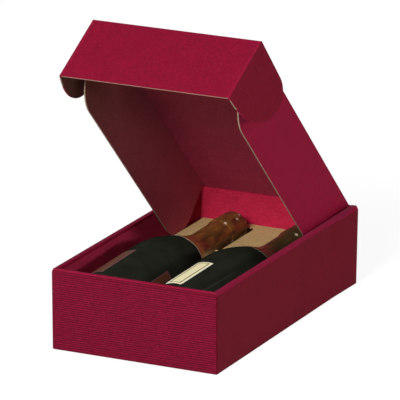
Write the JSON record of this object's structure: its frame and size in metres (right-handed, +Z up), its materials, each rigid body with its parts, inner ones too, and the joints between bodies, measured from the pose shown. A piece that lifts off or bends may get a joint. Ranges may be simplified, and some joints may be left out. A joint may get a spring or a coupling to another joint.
{
  "type": "wine gift box",
  "caption": "Open die-cut board gift box: rolled-wall tray, hinged lid with side flaps and eared front panel, kraft neck support and sealed sparkling-wine bottles.",
  "frame": {"origin": "middle of the tray's underside, on the surface the box stands on", "axes": "+X to the box's right seen from the front, +Y to the rear where the lid is hinged, +Z up"},
  "size_m": [0.2257, 0.351, 0.3429],
  "materials": {
    "burgundy_board": "matte",
    "kraft_board": "matte",
    "dark_glass": "gloss",
    "copper_foil": "satin",
    "cream_label_paper": "satin",
    "brown_label_paper": "satin"
  },
  "bodies": {
    "tray": {"tray": "burgundy_board", "neck_support": "kraft_board", "bottle_left": "dark_glass", "foil_left": "copper_foil", "front_label_left": "brown_label_paper", "back_label_left": "brown_label_paper", "bottle_right": "dark_glass", "foil_right": "copper_foil", "front_label_right": "cream_label_paper", "back_label_right": "cream_label_paper"},
    "lid": {"lid": "burgundy_board"},
    "front_panel": {"front_panel": "burgundy_board"},
    "ear_left": {"ear_left": "burgundy_board"},
    "ear_right": {"ear_right": "burgundy_board"}
  },
  "joints": [
    {"name": "lid_hinge", "type": "hinge", "parent": "tray", "child": "lid", "pos_m": [0, 0.175, 0.089], "axis": [-1, 0, 0], "range_deg": [-45.36, 134.14]},
    {"name": "front_panel_fold", "type": "hinge", "parent": "lid", "child": "front_panel", "pos_m": [0, -0.06763, 0.34161], "axis": [-1, 0, 0], "range_deg": [-15.6, 74.4]},
    {"name": "ear_left_fold", "type": "hinge", "parent": "front_panel", "child": "ear_left", "pos_m": [-0.09975, -0.10795, 0.32156], "axis": [0, 0.8785, 0.4778], "range_deg": [-7, 83]},
    {"name": "ear_right_fold", "type": "hinge", "parent": "front_panel", "child": "ear_right", "pos_m": [0.09975, -0.10795, 0.32156], "axis": [0, -0.8785, -0.4778], "range_deg": [-11, 79]}
  ]
}
